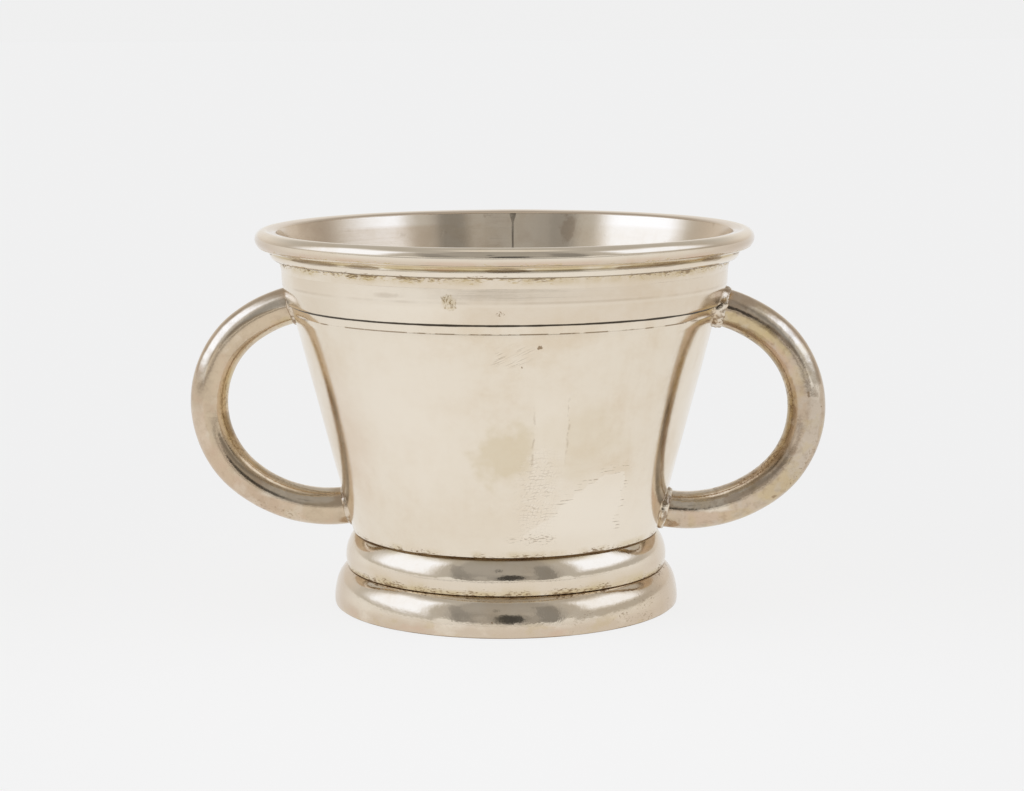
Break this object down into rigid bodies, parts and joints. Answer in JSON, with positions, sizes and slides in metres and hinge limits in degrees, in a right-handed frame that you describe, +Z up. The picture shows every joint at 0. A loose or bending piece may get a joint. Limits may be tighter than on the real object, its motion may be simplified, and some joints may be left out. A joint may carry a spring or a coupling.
{
  "type": "caudle cup",
  "caption": "Conical drinking cup on a stepped hollow foot, with a rolled and moulded lip, a girdle band and round tube handles soldered to its sides.",
  "frame": {"origin": "middle of the foot, on the table", "axes": "+X along the handles, +Y from the front to the back, +Z up out of the mouth"},
  "size_m": [0.1422, 0.11, 0.0837],
  "materials": {
    "silver": "polished silver with a light warm tarnish",
    "solder": "bright silver solder, left as it flowed"
  },
  "bodies": {
    "root": {"body_wall": "silver", "body_floor": "silver", "lip_wire": "silver", "lip_moulding": "silver", "girdle_band": "silver", "foot_collar": "silver", "foot_base": "silver", "foot_wire": "silver", "handle_left": "silver", "handle_right": "silver", "upper_solder": "solder", "lower_solder": "solder"}
  },
  "joints": []
}
